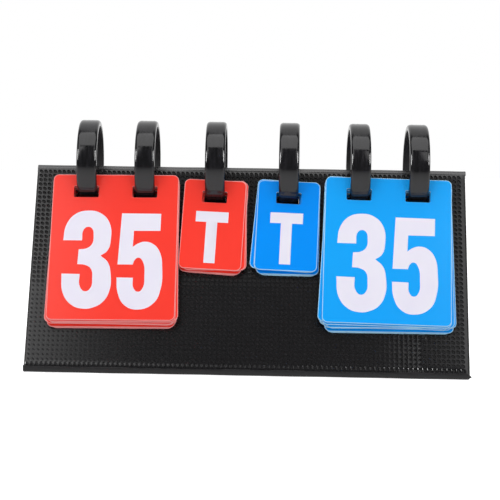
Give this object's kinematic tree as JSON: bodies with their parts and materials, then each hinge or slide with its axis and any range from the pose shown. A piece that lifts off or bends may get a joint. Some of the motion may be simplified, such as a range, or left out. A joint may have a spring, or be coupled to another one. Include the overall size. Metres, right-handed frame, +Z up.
{
  "type": "tabletop flip scoreboard",
  "caption": "Folding A-frame stand of vinyl-covered board with plastic rings along its ridge that carry stacks of red and blue score leaves.",
  "frame": {"origin": "on the underside of the base, under the middle of the ridge", "axes": "+X along the ridge to the right as seen from the front, +Y from the front to the back, +Z up"},
  "size_m": [0.2, 0.0832, 0.1138],
  "materials": {
    "vinyl": "embossed black vinyl skin with smooth welded bands",
    "board": "grey binder board",
    "ring_plastic": "glossy black moulded plastic",
    "red_leaf": "smooth red plastic sheet with white print",
    "blue_leaf": "smooth blue plastic sheet with white print",
    "hook_tape": "black hook tape",
    "loop_tape": "black loop tape"
  },
  "bodies": {
    "front_leg": {"front_outer_skin": "vinyl", "front_board": "board", "front_inner_skin": "vinyl", "top_fold": "vinyl", "bottom_fold": "vinyl", "home_score_leaves": "red_leaf", "home_timeout_leaves": "red_leaf", "guest_timeout_leaves": "blue_leaf", "guest_score_leaves": "blue_leaf"},
    "back_leg": {"back_outer_skin": "vinyl", "back_board": "board", "back_inner_skin": "vinyl", "hook_pads": "hook_tape"},
    "base": {"base_outer_skin": "vinyl", "base_board": "board", "base_inner_skin": "vinyl", "rear_fold": "vinyl"},
    "closure": {"closure_flap": "vinyl", "loop_pads": "loop_tape"},
    "ring_1": {"ring_1": "ring_plastic"},
    "ring_2": {"ring_2": "ring_plastic"},
    "ring_3": {"ring_3": "ring_plastic"},
    "ring_4": {"ring_4": "ring_plastic"},
    "ring_5": {"ring_5": "ring_plastic"},
    "ring_6": {"ring_6": "ring_plastic"},
    "home_score_front": {"home_score_front_leaf": "red_leaf"},
    "home_timeout_front": {"home_timeout_front_leaf": "red_leaf"},
    "guest_timeout_front": {"guest_timeout_front_leaf": "blue_leaf"},
    "guest_score_front": {"guest_score_front_leaf": "blue_leaf"}
  },
  "joints": [
    {"name": "back_fold", "type": "hinge", "parent": "front_leg", "child": "back_leg", "pos_m": [0, 0, 0.0897], "axis": [-1, 0, 0], "range_deg": [0, 46]},
    {"name": "base_fold", "type": "hinge", "parent": "front_leg", "child": "base", "pos_m": [0, -0.0375, 0.0025], "axis": [-1, 0, 0], "range_deg": [0, 113], "deforming": ["bottom_fold"]},
    {"name": "closure_fold", "type": "hinge", "parent": "base", "child": "closure", "pos_m": [0, 0.04109, 0.0025], "axis": [-1, 0, 0], "range_deg": [0, 113], "deforming": ["rear_fold"]},
    {"name": "ring_1_turn", "type": "hinge", "parent": "front_leg", "child": "ring_1", "pos_m": [-0.0755, 0, 0.0938], "axis": [0.9997, 0.0244, 0], "continuous": true},
    {"name": "ring_2_turn", "type": "hinge", "parent": "front_leg", "child": "ring_2", "pos_m": [-0.0485, 0, 0.0938], "axis": [1, 0.0035, 0], "continuous": true},
    {"name": "ring_3_turn", "type": "hinge", "parent": "front_leg", "child": "ring_3", "pos_m": [-0.0162, 0, 0.0938], "axis": [1, 0.0035, 0], "continuous": true},
    {"name": "ring_4_turn", "type": "hinge", "parent": "front_leg", "child": "ring_4", "pos_m": [0.018, 0, 0.0938], "axis": [0.9999, -0.0157, 0], "continuous": true},
    {"name": "ring_5_turn", "type": "hinge", "parent": "front_leg", "child": "ring_5", "pos_m": [0.0503, 0, 0.0938], "axis": [0.9998, 0.0209, 0], "continuous": true},
    {"name": "ring_6_turn", "type": "hinge", "parent": "front_leg", "child": "ring_6", "pos_m": [0.0773, 0, 0.0938], "axis": [0.9999, 0.0122, 0], "continuous": true},
    {"name": "home_score_flip", "type": "hinge", "parent": "front_leg", "child": "home_score_front", "pos_m": [0, 0, 0.0938], "axis": [-1, 0, 0], "range_deg": [0, 260]},
    {"name": "home_timeout_flip", "type": "hinge", "parent": "front_leg", "child": "home_timeout_front", "pos_m": [0, 0, 0.0938], "axis": [-1, 0, 0], "range_deg": [0, 270]},
    {"name": "guest_timeout_flip", "type": "hinge", "parent": "front_leg", "child": "guest_timeout_front", "pos_m": [0, 0, 0.0938], "axis": [-1, 0, 0], "range_deg": [0, 270]},
    {"name": "guest_score_flip", "type": "hinge", "parent": "front_leg", "child": "guest_score_front", "pos_m": [0, 0, 0.0938], "axis": [-1, 0, 0], "range_deg": [0, 260]}
  ],
  "couplings": [
    {"joint": "base_fold", "follows": "back_fold", "ratio": 2.4565},
    {"joint": "closure_fold", "follows": "back_fold", "ratio": 2.4565}
  ]
}
